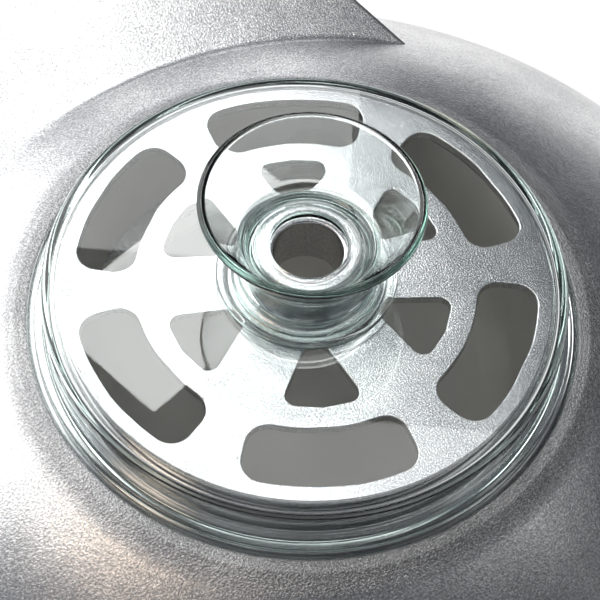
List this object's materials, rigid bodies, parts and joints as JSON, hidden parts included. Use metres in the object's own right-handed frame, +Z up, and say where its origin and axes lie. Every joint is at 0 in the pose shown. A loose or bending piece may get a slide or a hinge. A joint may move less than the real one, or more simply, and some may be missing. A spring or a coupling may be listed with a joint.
{
  "type": "flower frog",
  "caption": "Domed cast holder with a broad handle, pierced stem plate, pressed glass cover and flared glass cup around a central stem hole.",
  "frame": {"origin": "on the axis of the well, plate and cup, at the table surface (the underside of the middle foot pad)", "axes": "+Z up along the stem hole's axis; +Y towards the end of the handle"},
  "size_m": [0.274, 0.3236, 0.086],
  "materials": {
    "cast_metal": "sand-cast, lightly polished",
    "plate_metal": "cast and tumbled",
    "cover_glass": "clear pressed glass with a green edge",
    "cup_glass": "clear blown glass with a green edge",
    "pad_rubber": "matt"
  },
  "bodies": {
    "holder": {"cast_body": "cast_metal", "foot_pads": "pad_rubber"},
    "plate": {"frog_plate": "plate_metal"},
    "cover": {"glass_cover": "cover_glass"},
    "cup": {"glass_cup": "cup_glass"}
  },
  "joints": [
    {"name": "plate_lift", "type": "slide", "parent": "holder", "child": "plate", "axis": [0, 0, 1], "range_m": [0, 0.06]},
    {"name": "cover_lift", "type": "slide", "parent": "plate", "child": "cover", "axis": [0, 0, 1], "range_m": [0, 0.05]},
    {"name": "cup_lift", "type": "slide", "parent": "cover", "child": "cup", "axis": [0, 0, 1], "range_m": [0, 0.05]}
  ]
}
